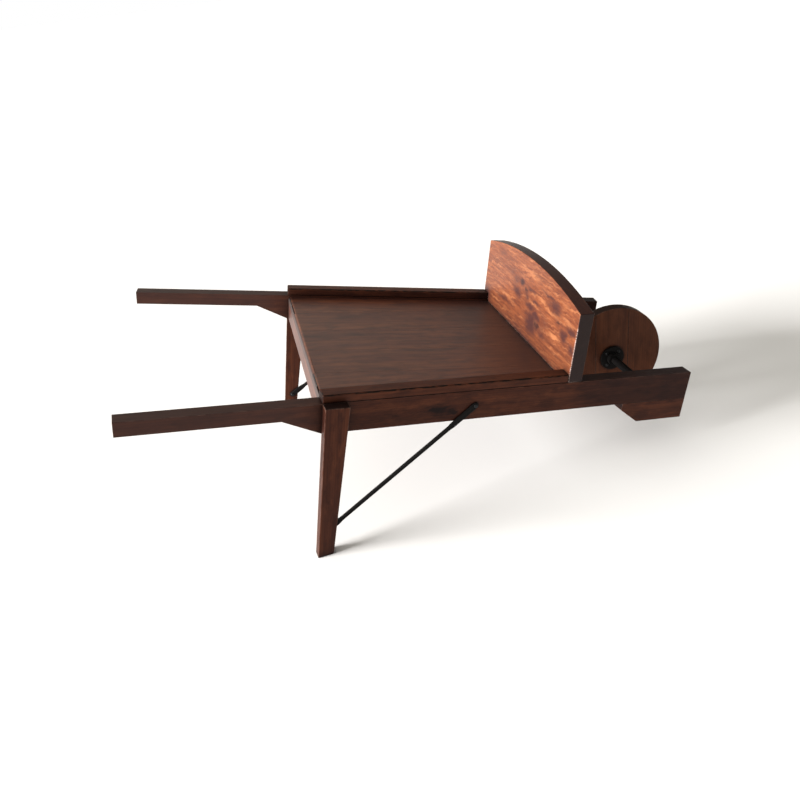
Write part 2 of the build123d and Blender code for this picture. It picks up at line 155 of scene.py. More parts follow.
class Paint:
    """The nodes of one finish, or of the studio's world."""

    def __init__(self, owner):
        self.owner = owner
        self.owner.use_nodes = True
        self.tree = self.owner.node_tree
        self.tree.nodes.clear()

    def node(self, kind, settings=None, sockets=None, output=0):
        """Adds a node, its settings first, and returns its output as a Value."""
        node = self.tree.nodes.new(kind)
        for name, value in (settings or {}).items():
            setattr(node, name, value)
        for key, value in (sockets or {}).items():
            if isinstance(value, Value):
                self.tree.links.new(value.socket, node.inputs[key])
            else:
                node.inputs[key].default_value = value
        return Value(self, node.outputs[output]) if node.outputs else None

    def place(self, name):
        """A place stored on the mesh: where each point lies in its board or in its log."""
        return self.node("ShaderNodeAttribute", {"attribute_name": name}, output="Vector")

    def mark(self, name):
        """A number stored on the mesh."""
        return self.node("ShaderNodeAttribute", {"attribute_name": name}, output="Fac")

    def stretched(self, place, scale):
        return self.node("ShaderNodeVectorMath", {"operation": "MULTIPLY"}, {0: place, 1: scale})

    def shifted(self, place, step):
        return self.node("ShaderNodeVectorMath", {"operation": "ADD"}, {0: place, 1: step})

    def parts(self, place):
        split = self.node("ShaderNodeSeparateXYZ", None, {0: place})
        return [Value(self, output) for output in split.socket.node.outputs]

    def crevice(self, reach):
        """1 deep in the joint between two pieces, 0 in the open."""
        settings = {"samples": 4, "only_local": False}
        opening = self.node("ShaderNodeAmbientOcclusion", settings, {"Distance": reach}, "AO")
        return 1.0 - opening

    def spots(self, place, spots):
        """A spot is its middle, its half sizes and its strength: full there, fading to its rim."""
        cover = None
        for x, y, half_length, half_height, strength in spots:
            centred = self.shifted(place, (-x, -y, 0.0))
            scaled = self.stretched(centred, (1 / half_length, 1 / half_height, 0.0))
            away = self.node("ShaderNodeVectorMath", {"operation": "LENGTH"}, {0: scaled}, "Value")
            near = (1.0 - away) * strength
            cover = near if cover is None else cover.bigger(near)
        return cover.bigger(0.0)

    def turned(self, place, angle):
        """A place turned in the board's own plane."""
        settings = {"rotation_type": "Z_AXIS"}
        return self.node("ShaderNodeVectorRotate", settings, {"Vector": place, "Angle": angle})

    def noise(self, place, scale=1.0, detail=2.0, roughness=0.5, output="Fac"):
        sockets = {"Vector": place, "Scale": scale, "Detail": detail, "Roughness": roughness}
        return self.node("ShaderNodeTexNoise", None, sockets, output)

    def grain(self, place, waves, detail, roughness, output="Fac"):
        """Noise drawn out along the wood: waves per metre along, across and through it."""
        return self.noise(self.stretched(place, waves), 1.0, detail, roughness, output)

    def mix(self, share, first, second):
        """Two colours mixed by a share that may vary."""
        sockets = {0: share, 6: colour(first), 7: colour(second)}
        return self.node("ShaderNodeMix", {"data_type": "RGBA"}, sockets, 2)

    def finish(self, sockets, bump=None, strength=0.3, depth=0.2 * MM):
        """The surface shader, with a bump behind its normal if one is given."""
        links = dict(sockets)
        if bump is not None:
            relief = {"Height": bump, "Strength": strength, "Distance": depth}
            links["Normal"] = self.node("ShaderNodeBump", None, relief)
        surface = self.node("ShaderNodeBsdfPrincipled", None, links)
        self.node("ShaderNodeOutputMaterial", None, {"Surface": surface})
        return self.owner


def colour(value):
    """A colour as a socket takes it: a tone gets its fourth number."""
    return value if isinstance(value, Value) else (*value, 1.0)


# --- Wood -------------------------------------------------------------------------------------
# How many waves each noise has in a metre along, across and through the log or the board.
DRIFT_WAVES = (3.2, 14.0, 14.0)
FIBRE_WAVES = (7.0, 330.0, 330.0)
PORE_WAVES = (45.0, 1700.0, 1700.0)
CLOUD_WAVES = (5.0, 26.0, 26.0)
BROAD_WAVES = (2.2, 60.0, 60.0)
MOTTLE_WAVES = (20.0, 62.0, 62.0)
ARRIS_PATCH_WAVES = (60.0, 300.0, 300.0)
RIM_WAVES = (30.0, 62.0, 30.0)
FIGURE_WAVES = (12.0, 185.0, 60.0)

# Takes the middle of a noise's colour to zero.
CENTRING = (-0.5, -0.5, -0.5)
RIM_WANDER = (50.0 * MM, 26.0 * MM, 0.0)
FIGURE_SLANT = 0.12
KNOT_SHAPE = (2.2, 1.0)
HALO_SHAPE = (6.0, 2.4)
KNOT_PUSH = 18.0 * MM
# The joints' near black and how far it reaches: grime together with painted shade.
JOINT_GRIME_AND_SHADE = (0.004, 0.002, 0.002)
JOINT_GRIME_AND_SHADE_REACH = 9.0 * MM
ARRIS_FADE = 10.0 * MM
SIDE_FADE = 8.0 * MM


def darker(tone, share):
    return tuple(channel * share for channel in tone)


def ragged_place(paint, board):
    """A point's place in its board, shaken so that knots and stains get ragged rims."""
    shake = paint.shifted(paint.grain(board, RIM_WAVES, 4.0, 0.65, "Color"), CENTRING)
    return paint.shifted(board, paint.stretched(shake, RIM_WANDER))


def knot_spots(paint, place, knots, shape):
    """A spot at each knot. The shape gives its half length and half height in knot sizes."""
    length, height = shape
    return paint.spots(place, [(x, y, length * size, height * size, 1.0) for x, y, size in knots])


def late_wood_rings(paint, log, ring_pitch, wander, halo):
    """How far each point is into the dark late wood of its ring. Knots push the rings aside."""
    drift = paint.shifted(paint.grain(log, DRIFT_WAVES, 3.0, 0.55, "Color"), CENTRING)
    bent = paint.shifted(log, paint.stretched(drift, (0.0, wander, wander)))
    _, across, depth = paint.parts(bent)
    radius = (across * across + depth * depth) ** 0.5
    if halo is not None:
        radius = radius + halo * KNOT_PUSH
    ring = (radius / ring_pitch).within_one()
    return (ring ** 2.5) * 0.85


def stained_figure(paint, tone, ragged, stains, flames, flame, late, blotch):
    """A slanting figure over the rings: pale flames, and stains that soaked in along it."""
    figure = paint.grain(paint.turned(ragged, FIGURE_SLANT), FIGURE_WAVES, 4.0, 0.66)
    if flames:
        tone = paint.mix(figure.between(0.50, 0.72) * 0.6, tone, flame)
        tone = paint.mix((1.0 - figure).between(0.50, 0.70) * 0.6, tone, late)
        flicker = paint.spots(ragged, flames) + figure * 1.3 - 0.74
        tone = paint.mix(flicker.between(0.0, 0.9) * 0.8, tone, flame)
    soak = paint.spots(ragged, stains) + figure * 1.3 - 0.72
    return paint.mix(soak.between(0.0, 0.9) * 0.95, tone, blotch)


def worn_and_lit_arrises(paint, board, below, side):
    """How far the arrises take the arris tone, in patches: wear, with a painted highlight where the
    tone is pale and a painted shade line where it is dark. With a height given, only below it
    and on the given side of z.
    """
    patchy = paint.mark("arris") * paint.grain(board, ARRIS_PATCH_WAVES, 2.0, 0.6).between(0.35, 0.65)
    if below is None:
        return patchy
    _, board_y, board_z = paint.parts(board)
    above = board_y.between(below, below + ARRIS_FADE)
    behind = (board_z * -side).between(-SIDE_FADE, SIDE_FADE)
    return patchy * (1.0 - above.bigger(behind))


def joint_grime_and_painted_shade(paint, tone, blotch, shade_reach, shade_share, grime_and_shade_share):
    """Painted shade: the tone darkened where other pieces shelter it, and painted near black in the
    joints, as grime and shade together.
    """
    # Painted shade: occlusion by nearby pieces darkens the tone.
    shade = paint.crevice(shade_reach).between(0.08, 0.52)
    tone = paint.mix(shade * shade_share, tone, darker(blotch, 0.5))
    # Painted shade with grime: the tightest joints go near black.
    grime_and_shade = paint.crevice(JOINT_GRIME_AND_SHADE_REACH).between(0.13, 0.42)
    return paint.mix(grime_and_shade * grime_and_shade_share, tone, JOINT_GRIME_AND_SHADE)


def stained_wood(
    name,
    early,
    late,
    streak,
    blotch,
    ring_pitch=5.0 * MM,
    wander=9.0 * MM,
    streak_share=0.5,
    blotch_share=0.55,
    knots=(),
    stains=(),
    flames=(),
    flame=None,
    edge_share=0.0,
    # The default arris tone is lighter than the wood: wear together with a painted highlight.
    arris_wear_and_light_tone=(0.16, 0.10, 0.08),
    arris_share=0.4,
    arris_below=None,
    arris_side=-1,
    dark_front=None,
    front_share=0.5,
    greyer_rear=None,
    greyed=None,
    grime_and_shade_share=0.85,
    shade_reach=40.0 * MM,
    shade_share=0.75,
    gleam=0.09,
    roughness=0.34,
):
    """Stained, varnished boards cut from a log whose grain runs along x."""
    paint = Paint(bpy.data.materials.new(name))
    log = paint.place("log")
    board = paint.place("board")
    end_grain = paint.mark("end_grain")
    ragged = ragged_place(paint, board)
    halo = knot_spots(paint, ragged, knots, HALO_SHAPE) if knots else None

    late_wood = late_wood_rings(paint, log, ring_pitch, wander, halo)
    fibre = paint.grain(log, FIBRE_WAVES, 3.0, 0.6)
    pores = paint.grain(log, PORE_WAVES, 2.0, 0.6)
    cloud = paint.grain(log, CLOUD_WAVES, 3.0, 0.6)
    broad = paint.grain(log, BROAD_WAVES, 2.0, 0.5)
    ruddy, dusky, _ = paint.parts(paint.grain(log, MOTTLE_WAVES, 4.0, 0.62, "Color"))

    tone = paint.mix(late_wood * (0.55 + 0.45 * cloud), early, late)
    tone = paint.mix(broad.between(0.42, 0.72) * streak_share, tone, streak)
    tone = paint.mix(ruddy.between(0.48, 0.70) * 0.5, tone, streak)
    tone = paint.mix(dusky.between(0.46, 0.72) * blotch_share, tone, blotch)
    tone = paint.mix(fibre.between(0.35, 0.75) * 0.4, tone, late)
    tone = paint.mix(pores.between(0.56, 0.70) * 0.4, tone, blotch)
    tone = paint.mix(cloud.between(0.48, 0.80) * blotch_share, tone, blotch)
    if stains:
        tone = stained_figure(paint, tone, ragged, stains, flames, flame, late, blotch)
    if knots:
        tone = paint.mix(halo.between(0.1, 0.9) * 0.4, tone, blotch)
        knot = knot_spots(paint, ragged, knots, KNOT_SHAPE)
        tone = paint.mix(knot.between(0.1, 0.65) * 0.8, tone, darker(blotch, 0.6))

    forward = paint.parts(board)[0]
    if dark_front:
        tone = paint.mix(forward.between(*dark_front) * front_share, tone, blotch)
    # Greyer towards the rear, along the handles.
    if greyer_rear:
        tone = paint.mix((forward * -1.0).between(*greyer_rear) * 0.5, tone, greyed)
    if edge_share:
        tone = paint.mix(paint.mark("edge") * edge_share, tone, darker(blotch, 0.5))
    tone = paint.mix(end_grain * 0.8, tone, darker(blotch, 0.25))
    # Arrises take the arris tone in patches: wear and painted light, a pale tone painting a highlight
    # and a dark one a shade line.
    arris = worn_and_lit_arrises(paint, board, arris_below, arris_side)
    tone = paint.mix(arris * arris_share, tone, arris_wear_and_light_tone)
    # Painted shade in sheltered places, and grime with painted shade in the joints.
    tone = joint_grime_and_painted_shade(paint, tone, blotch, shade_reach, shade_share, grime_and_shade_share)

    relief = fibre * 0.6 + pores * 0.5 + late_wood * 0.4
    dulled = roughness + fibre * 0.10 + end_grain * 0.15 + cloud * 0.06 + dusky * 0.08
    return paint.finish(
        {
            "Base Color": tone,
            "Roughness": dulled,
            "Specular IOR Level": gleam,
            "Coat Weight": 0.02,
            "Coat Roughness": 0.16,
        },
        relief,
        0.35,
        0.12 * MM,
    )


# --- Metal ------------------------------------------------------------------------------------
def black_iron(name):
    """Brushed-on black enamel over forged iron, with a few bare spots."""
    paint = Paint(bpy.data.materials.new(name))
    place = paint.node("ShaderNodeTexCoord", None, None, "Object")
    hammer = paint.noise(place, 140.0, 3.0, 0.55)
    grit = paint.noise(place, 900.0, 2.0, 0.6)
    bare = paint.noise(place, 45.0, 4.0, 0.65).between(0.66, 0.78)
    tone = paint.mix(hammer, (0.004, 0.004, 0.004), (0.010, 0.009, 0.009))
    tone = paint.mix(bare * 0.5, tone, (0.050, 0.032, 0.023))
    return paint.finish(
        {
            "Base Color": tone,
            "Roughness": 0.38 + grit * 0.22 + bare * 0.2,
            "Metallic": bare * 0.3,
            "Specular IOR Level": 0.05,
        },
        hammer * 0.7 + grit * 0.3,
        0.4,
        0.3 * MM,
    )


def screw_steel(name, light, dark, roughness):
    """Plated or blackened screws, drawn bright and dulled by handling."""
    paint = Paint(bpy.data.materials.new(name))
    place = paint.node("ShaderNodeTexCoord", None, None, "Object")
    stain = paint.noise(place, 260.0, 3.0, 0.6)
    fine = paint.noise(place, 2400.0, 2.0, 0.5)
    tone = paint.mix(stain, light, dark)
    return paint.finish(
        {"Base Color": tone, "Roughness": roughness + fine * 0.15, "Metallic": 0.85},
        fine,
        0.2,
        0.05 * MM,
    )


def bare_beech(name):
    """Plain beech dowel stock with its short dark flecks."""
    paint = Paint(bpy.data.materials.new(name))
    place = paint.node("ShaderNodeTexCoord", None, None, "Object")
    grain = paint.noise(paint.stretched(place, (300.0, 60.0, 300.0)), 1.0, 3.0, 0.6)
    fleck = paint.noise(paint.stretched(place, (900.0, 250.0, 900.0)), 1.0, 1.0, 0.5)
    tone = paint.mix(grain, (0.55, 0.36, 0.20), (0.40, 0.24, 0.12))
    tone = paint.mix(fleck.between(0.6, 0.7) * 0.6, tone, (0.22, 0.12, 0.06))
    return paint.finish({"Base Color": tone, "Roughness": 0.6 + grain * 0.2}, grain, 0.3, 0.1 * MM)


# --- Boards dressed from their rough shapes in the frame --------------------------------------
def edge_turn(edge):
    """How far the surface turns over an edge."""
    return edge.calc_face_angle(0.0) if edge.is_manifold else 0.0


def rough_shape(node):
    """A node's mesh with its flat faces whole again."""
    shape = bmesh.new()
    shape.from_mesh(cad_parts[node].data)
    bmesh.ops.remove_doubles(shape, verts=shape.verts, dist=WELD)
    bmesh.ops.dissolve_limit(
        shape,
        angle_limit=FLAT_ANGLE,
        verts=shape.verts,
        edges=shape.edges,
        use_dissolve_boundaries=False,
    )
    return shape


def board_axes(shape):
    """The board's own axes: x along its longest edge, z square to its broadest face."""
    edges = [edge for edge in shape.edges if edge_turn(edge) > SHARP_ANGLE]
    longest = max(edges, key=lambda edge: round(edge.calc_length(), 5))
    along = (longest.verts[1].co - longest.verts[0].co).normalized()
    if along.x + along.z * 0.9 + along.y * 0.8 < 0:
        along.negate()
    faces = [face for face in shape.faces if abs(face.normal.dot(along)) < END_GRAIN_COSINE]
    broadest = max(faces, key=lambda face: round(face.calc_area(), 7))
    through = broadest.normal.copy()
    through = (through - along * through.dot(along)).normalized()
    if through.x + through.z * 0.9 + through.y * 0.8 < 0:
        through.negate()
    across = through.cross(along)
    turn = Matrix((along, across, through)).transposed().to_4x4()
    local = [turn.transposed() @ vert.co for vert in shape.verts]
    middle = Vector([(min(c) + max(c)) / 2 for c in zip(*local)])
    return turn @ Matrix.Translation(middle)


def true_arc(shape, centre, axis, radius):
    """Finer facets on a round face: its arcs are divided and brought out to the true radius."""

    def off_axis(point):
        arm = point - centre
        return arm - axis * arm.dot(axis)

    def on_arc(vert):
        return abs(off_axis(vert.co).length - radius) < ON_ARC

    def along_arc(edge):
        start, end = (vert.co for vert in edge.verts)
        sagging = radius - off_axis((start + end) / 2).length
        turning = abs((end - start).normalized().dot(axis)) < 0.5
        return turning and sagging < ARC_SAG and on_arc(edge.verts[0]) and on_arc(edge.verts[1])

    def cuts_along(edge):
        return max(1, round(edge.calc_length() / ARC_STEP))

    arcs = [edge for edge in shape.edges if along_arc(edge)]
    for cuts in sorted({cuts_along(edge) for edge in arcs}):
        same = [edge for edge in arcs if edge.is_valid and cuts_along(edge) == cuts]
        bmesh.ops.subdivide_edges(shape, edges=same, cuts=cuts, use_grid_fill=True)
    rim = set()
    for vert in shape.verts:
        arm = off_axis(vert.co)
        if abs(arm.length - radius) < NEAR_ARC:
            vert.co += arm.normalized() * (radius - arm.length)
            rim.add(vert)
    return rim


def crown_arc(node):
    """A crowned board's circle, through its two upper corners and its highest line."""
    board = rough_shape(node)
    axes = board_axes(board)
    points = [axes.inverted() @ vert.co for vert in board.verts]
    board.free()
    half_width = max(point.x for point in points)
    crown_height = max(point.y for point in points)
    corner_height = max(point.y for point in points if point.x > half_width - CORNER_REACH)
    crown = crown_height - corner_height
    radius = (half_width**2 + crown**2) / (2 * crown)
    centre = axes @ Vector((0, crown_height - radius, 0))
    return centre, axes.to_3x3() @ Vector((0, 0, 1)), radius


def rounded_off(shape, edges, reach, steps):
    """Rounds the edges over and returns the new faces."""
    return bmesh.ops.bevel(
        shape,
        geom=edges,
        offset=reach,
        offset_type="OFFSET",
        segments=steps,
        profile=0.5,
        affect="EDGES",
        clamp_overlap=True,
    )["faces"]


def store_marks(mesh, axes, log_shift, arris_faces):
    """Writes each point's place in the board and in the log, and marks arrises and end grain."""
    board = mesh.attributes.new("board", "FLOAT_VECTOR", "POINT")
    log = mesh.attributes.new("log", "FLOAT_VECTOR", "POINT")
    into_board = axes.inverted()
    for vert in mesh.vertices:
        place = into_board @ vert.co
        board.data[vert.index].vector = place
        log.data[vert.index].vector = place + log_shift
    arris = mesh.attributes.new("arris", "FLOAT", "FACE")
    end_grain = mesh.attributes.new("end_grain", "FLOAT", "FACE")
    edge = mesh.attributes.new("edge", "FLOAT", "FACE")
    along, _, through = axes.to_3x3().col
    for face in mesh.polygons:
        edge.data[face.index].value = 1.0 if abs(face.normal.dot(through)) < EDGE_COSINE else 0.0
        arris.data[face.index].value = 1.0 if face.index in arris_faces else 0.0
        end_grain.data[face.index].value = 1.0 if abs(face.normal.dot(along)) > END_GRAIN_COSINE else 0.0


def smooth_and_ride(piece, finish, body, slot, *nodes):
    """Smooth shading kept off the corners, the finish, the body and the nodes it stands for."""
    mesh = piece.data
    mesh.materials.append(finish)
    mesh.polygons.foreach_set("use_smooth", [True] * len(mesh.polygons))
    mesh.set_sharp_from_angle(angle=SMOOTH_ANGLE)
    normals = piece.modifiers.new("flat faces stay flat", "WEIGHTED_NORMAL")
    normals.keep_sharp = True
    bpy.context.scene.collection.objects.link(piece)
    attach(piece, body)
    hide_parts(*nodes)


def dressed_board(node, finish, slot, body="frame", arris=1.5 * MM, arc=None, pith=(0.06, 0.05)):
    """A board with softened arrises, in its own axes, standing for its node."""
    shape = rough_shape(node)
    axes = board_axes(shape)
    rim = set()
    if arc is not None:
        rim = true_arc(shape, *arc)
    edges = []
    for edge in shape.edges:
        long_enough = edge.calc_length() > SMALLEST_ARRIS_EDGE
        on_rim = edge.verts[0] in rim and edge.verts[1] in rim
        if edge_turn(edge) > SHARP_ANGLE and (long_enough or on_rim):
            edges.append(edge)
    rounded = rounded_off(shape, edges, arris, ARRIS_STEPS)
    shape.faces.index_update()
    arris_faces = {face.index for face in rounded}
    mesh = bpy.data.meshes.new(f"{node}_timber")
    shape.to_mesh(mesh)
    shape.free()
    log_shift = Vector((random.uniform(-3, 3), pith[0] * random.uniform(0.6, 1.4), pith[1]))
    store_marks(mesh, axes, log_shift, arris_faces)
    piece = bpy.data.objects.new(f"{node}_timber", mesh)
    smooth_and_ride(piece, finish, body, slot, node)


# --- Ironmongery ------------------------------------------------------------------------------
def linked_groups(shape):
    """The vertices of each separate solid in a shape."""
    left = set(shape.verts)
    while left:
        group = [left.pop()]
        for vert in group:
            for edge in vert.link_edges:
                other = edge.other_vert(vert)
                if other in left:
                    left.discard(other)
                    group.append(other)
        yield group


def metal_piece(name, shape, finish, body, slot, *nodes):
    """A finished metal piece from its shape."""
    bmesh.ops.recalc_face_normals(shape, faces=shape.faces)
    mesh = bpy.data.meshes.new(name)
    shape.to_mesh(mesh)
    shape.free()
    piece = bpy.data.objects.new(name, mesh)
    smooth_and_ride(piece, finish, body, slot, *nodes)


def machined(node, finish, slot, body):
    """A turned part with its bores and holes, and every corner broken."""
    shape = rough_shape(node)
    edges = [edge for edge in shape.edges if edge_turn(edge) > SHARP_ANGLE]
    rounded_off(shape, edges, IRON_ROUND, IRON_STEPS)
    metal_piece(f"{node}_turned", shape, finish, body, slot, node)


def turned(profile, steps=ROUND_STEPS):
    """A shape of revolution about z, from radius and height pairs that start and end on the axis."""
    shape = bmesh.new()
    rings = []
    for radius, height in profile:
        places = [math.tau * step / steps for step in range(steps if radius > 0 else 1)]
        corners = [(radius * math.cos(angle), radius * math.sin(angle), height) for angle in places]
        rings.append([shape.verts.new(corner) for corner in corners])
    for lower, upper in zip(rings, rings[1:]):
        for step in range(steps):
            after = (step + 1) % steps
            corners = [lower[step % len(lower)], lower[after % len(lower)]]
            corners += [upper[after % len(upper)], upper[step % len(upper)]]
            shape.faces.new(dict.fromkeys(corners))
    bmesh.ops.recalc_face_normals(shape, faces=shape.faces)
    return shape


def cut_away(stock, *cutters):
    """The stock less its cutters: boxes about the z axis, by half sizes and depth from the top."""
    top = max(vert.co.z for vert in stock.verts)
    mesh = bpy.data.meshes.new("stock")
    stock.to_mesh(mesh)
    stock.free()
    made = [bpy.data.objects.new("stock", mesh)]
    for half_x, half_y, depth in cutters:
        box = bmesh.new()
        bmesh.ops.create_cube(box, size=2.0)
        for vert in box.verts:
            low = vert.co.z < 0
            taper = SLOT_TAPER if low else 1.0
            height = top - depth if low else top + depth
            vert.co = (vert.co.x * half_x * taper, vert.co.y * half_y, height)
        mesh = bpy.data.meshes.new("cutter")
        box.to_mesh(mesh)
        box.free()
        made.append(bpy.data.objects.new("cutter", mesh))
    for piece in made:
        bpy.context.scene.collection.objects.link(piece)
    for cutter in made[1:]:
        less = made[0].modifiers.new("less", "BOOLEAN")
        less.operation = "DIFFERENCE"
        less.solver = "EXACT"
        less.object = cutter
    solved = made[0].evaluated_get(bpy.context.evaluated_depsgraph_get())
    result = bmesh.new()
    result.from_mesh(solved.to_mesh())
    solved.to_mesh_clear()
    for piece in made:
        mesh = piece.data
        bpy.data.objects.remove(piece)
        bpy.data.meshes.remove(mesh)
    return result


def shank(radius, length):
    """A wood screw's shank from under the head: plain, then threaded, then its point."""
    plain = SHANK_PLAIN * length
    point = length - SHANK_POINT * radius
    root = THREAD_ROOT * radius
    profile = [(radius, 0.0), (radius, -plain)]
    turns = int((point - plain) / THREAD_PITCH)
    for turn in range(turns):
        start = plain + (turn + THREAD_LEAD) * THREAD_PITCH
        profile += [(root, -start), (radius, -start - THREAD_FLANK * THREAD_PITCH)]
    return profile + [(root, -point), (0.0, -length)]


def domed_screw(length, radius):
    """A slotted round head, seated at z = 0, on its shank."""
    head_radius, height = DOMED_HEAD
    skirt = DOME_SKIRT * height
    dome = [(0.0, height)]
    for step in range(1, 7):
        angle = math.radians(15 * step)
        dome.append((head_radius * math.sin(angle) ** 0.9, skirt + (height - skirt) * math.cos(angle)))
    dome += [(head_radius, 0.0)]
    slot = (2 * head_radius, SLOT_HALF_WIDTH, DOMED_SLOT_DEPTH)
    return cut_away(turned(dome + shank(radius, length)), slot)


def sunk_screw(length, radius):
    """A countersunk head, flush at z = 0, with its cross recess, on its shank."""
    head_radius, depth = SUNK_HEAD
    head = [(0.0, 0.0), (head_radius - SUNK_EDGE, 0.0), (head_radius, -SUNK_EDGE), (radius, -depth)]
    lower = [(r, z - depth) for r, z in shank(radius, length - depth)[1:]]
    first_arm = (CROSS_HALF_LENGTH, SLOT_HALF_WIDTH, CROSS_DEPTH)
    second_arm = (SLOT_HALF_WIDTH, CROSS_HALF_LENGTH, CROSS_DEPTH)
    return cut_away(turned(head + lower), first_arm, second_arm)


def grub_screw(length, radius):
    """A headless slotted screw, its outer end at z = 0."""
    profile = [(0.0, 0.0), (radius - GRUB_CHAMFER, 0.0), (radius, -GRUB_CHAMFER)]
    profile += [(radius, GRUB_POINT - length), (radius - GRUB_POINT, -length), (0.0, -length)]
    return cut_away(turned(profile), (2 * radius, SLOT_HALF_WIDTH, GRUB_SLOT_DEPTH))


def lowest_corner(group):
    """A steady place to sort solids by, to the nearest millimetre."""
    return tuple(round(number, 3) for number in min(vert.co[:] for vert in group))


def driven_screws(node, finish, slot, body, make, sunk_by, from_line=None):
    """Every screw of a node, each where the frame has it, its slot left at any angle."""
    rough = bmesh.new()
    rough.from_mesh(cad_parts[node].data)
    bmesh.ops.remove_doubles(rough, verts=rough.verts, dist=WELD)
    whole = bmesh.new()
    kept = bpy.data.meshes.new(f"{node}_one")
    made_length = None
    for group in sorted(linked_groups(rough), key=lowest_corner):
        places = [vert.co for vert in group]
        middle = sum(places, Vector()) / len(places)
        if from_line is not None:
            out = Vector((middle.x - from_line.x, 0.0, middle.z - from_line.z)).normalized()
        else:
            farthest = max((place - middle).length for place in places)
            tip = [place for place in places if (place - middle).length > farthest - WELD]
            out = (middle - sum(tip, Vector()) / len(tip)).normalized()
        levels = [(place - middle).dot(out) for place in places]
        length = max(levels) - min(levels)
        slim = min(round((p - middle - out * (p - middle).dot(out)).length, 5) for p in places)
        # The screws of a node are alike, so one is made, and another only where the length changes.
        if made_length is None or abs(length - made_length) > WELD:
            one = make(length - sunk_by, slim)
            one.to_mesh(kept)
            one.free()
            made_length = length
        stand = out.to_track_quat("Z", "Y").to_matrix().to_4x4()
        seat = Matrix.Translation(middle + out * (max(levels) - sunk_by))
        place = seat @ stand @ Matrix.Rotation(random.uniform(0, math.pi), 4, "Z")
        first = len(whole.verts)
        whole.from_mesh(kept)
        whole.verts.ensure_lookup_table()
        bmesh.ops.transform(whole, matrix=place, verts=whole.verts[first:])
    rough.free()
    bpy.data.meshes.remove(kept)
    metal_piece(f"{node}_driven", whole, finish, body, slot, node)


def forged_stay(side, finish):
    """A round iron rod, its ends hammered out flat into round-ended lugs on either side of it."""
    node = f"{side}_stay"
    rough = rough_shape(node)
    axes = board_axes(rough)
    places = [axes.inverted() @ vert.co for vert in rough.verts]
    rough.free()
    reach = max(place.x for place in places)
    half_width = max(place.y for place in places)

    def lug_level(end):
        levels = [place.z for place in places if place.x * end > reach - half_width]
        return (min(levels) + max(levels)) / 2

    def ease(share):
        share = min(max(share, 0.0), 1.0)
        return share * share * (3 - 2 * share)

    low_level, high_level = lug_level(-1), lug_level(1)
    low_end, high_end = half_width + LOW_LUG, half_width + HIGH_LUG
    tips = [half_width * (1 - math.cos(math.radians(angle))) for angle in LUG_TIP_ANGLES]
    inner = [2 * reach * run / STAY_RUNS for run in range(STAY_RUNS + 1)]
    inner = [station for station in inner if tips[-1] < station < 2 * reach - tips[-1]]
    stations = sorted(tips + inner + [2 * reach - tip for tip in tips])
    shape = bmesh.new()
    rings = []
    for station in stations:
        from_end = min(station, 2 * reach - station)
        low = station < reach
        lug_end = low_end if low else high_end
        rod = ease((from_end - lug_end) / LUG_FADE)
        width = half_width + (ROD_RADIUS - half_width) * rod
        if from_end < half_width:
            width = (half_width**2 - (half_width - from_end) ** 2) ** 0.5
        thickness = LUG_HALF_THICKNESS + (ROD_RADIUS - LUG_HALF_THICKNESS) * rod
        run = (station - low_end) / (2 * reach - low_end - high_end)
        level = low_level + (high_level - low_level) * min(max(run, 0.0), 1.0)
        square = LUG_SQUARENESS + (1 - LUG_SQUARENESS) * rod
        ring = []
        for step in range(ROUND_STEPS):
            angle = math.tau * step / ROUND_STEPS
            c, s = math.cos(angle), math.sin(angle)
            y = width * math.copysign(abs(c) ** square, c)
            z = level + thickness * math.copysign(abs(s) ** square, s)
            ring.append(shape.verts.new(axes @ Vector((station - reach, y, z))))
        rings.append(ring)
    for first, second in zip(rings, rings[1:]):
        for step in range(ROUND_STEPS):
            after = (step + 1) % ROUND_STEPS
            shape.faces.new((first[step], first[after], second[after], second[step]))
    shape.faces.new(rings[0])
    shape.faces.new(rings[-1])
    metal_piece(f"{node}_forged", shape, finish, "frame", "black_iron", node)


# --- Finishes ---------------------------------------------------------------------------------
MAHOGANY = {
    "early": (0.055, 0.0150, 0.0072),
    "late": (0.026, 0.0068, 0.0038),
    "streak": (0.106, 0.0315, 0.0135),
    "blotch": (0.011, 0.0034, 0.0030),
}
frame_wood = stained_wood("frame_mahogany_stain", **MAHOGANY)
rail_wood = stained_wood(
    "rail_mahogany_stain",
    **MAHOGANY,
    # One top arris of each rail is painted near black: a painted shade line along it.
    arris_wear_and_light_tone=(0.006, 0.003, 0.002),
    arris_share=1.8,
    arris_below=-5.0 * MM,
    arris_side=1,
    # Deep painted shade on the rails where the deck and frame shelter them, and light grime with shade
    # in the joints.
    grime_and_shade_share=0.3,
    shade_reach=90.0 * MM,
    shade_share=0.95,
)
leg_wood = stained_wood("leg_mahogany_stain", **MAHOGANY, edge_share=0.4)
beam_wood = stained_wood(
    "beam_mahogany_stain",
    **MAHOGANY,
    knots=((0.008, 0.004, 0.013), (0.036, 0.012, 0.009), (-0.44, 0.010, 0.006)),
    stains=(
        (0.010, 0.004, 0.040, 0.026, 0.9),
        (0.042, 0.012, 0.030, 0.016, 0.7),
        (-0.110, 0.000, 0.120, 0.050, 0.3),
        (0.390, 0.000, 0.070, 0.060, 0.5),
        (0.600, -0.010, 0.040, 0.040, 0.6),
    ),
    dark_front=(0.30, 0.46),
    front_share=0.65,
    greyer_rear=(0.20, 0.36),
    greyed=(0.046, 0.027, 0.025),
    edge_share=0.3,
    grime_and_shade_share=0.4,
)
apron_wood = stained_wood("apron_mahogany_stain", **MAHOGANY, gleam=0.4, grime_and_shade_share=0.3)
deck_wood = stained_wood(
    "deck_mahogany_stain",
    early=(0.078, 0.0185, 0.0065),
    late=(0.040, 0.0090, 0.0040),
    streak=(0.150, 0.0480, 0.0160),
    blotch=(0.018, 0.0046, 0.0030),
    ring_pitch=9.0 * MM,
    roughness=0.30,
    gleam=0.5,
    blotch_share=0.65,
    arris_share=0.1,
    dark_front=(0.05, 0.24),
    front_share=0.8,
    grime_and_shade_share=0.45,
)
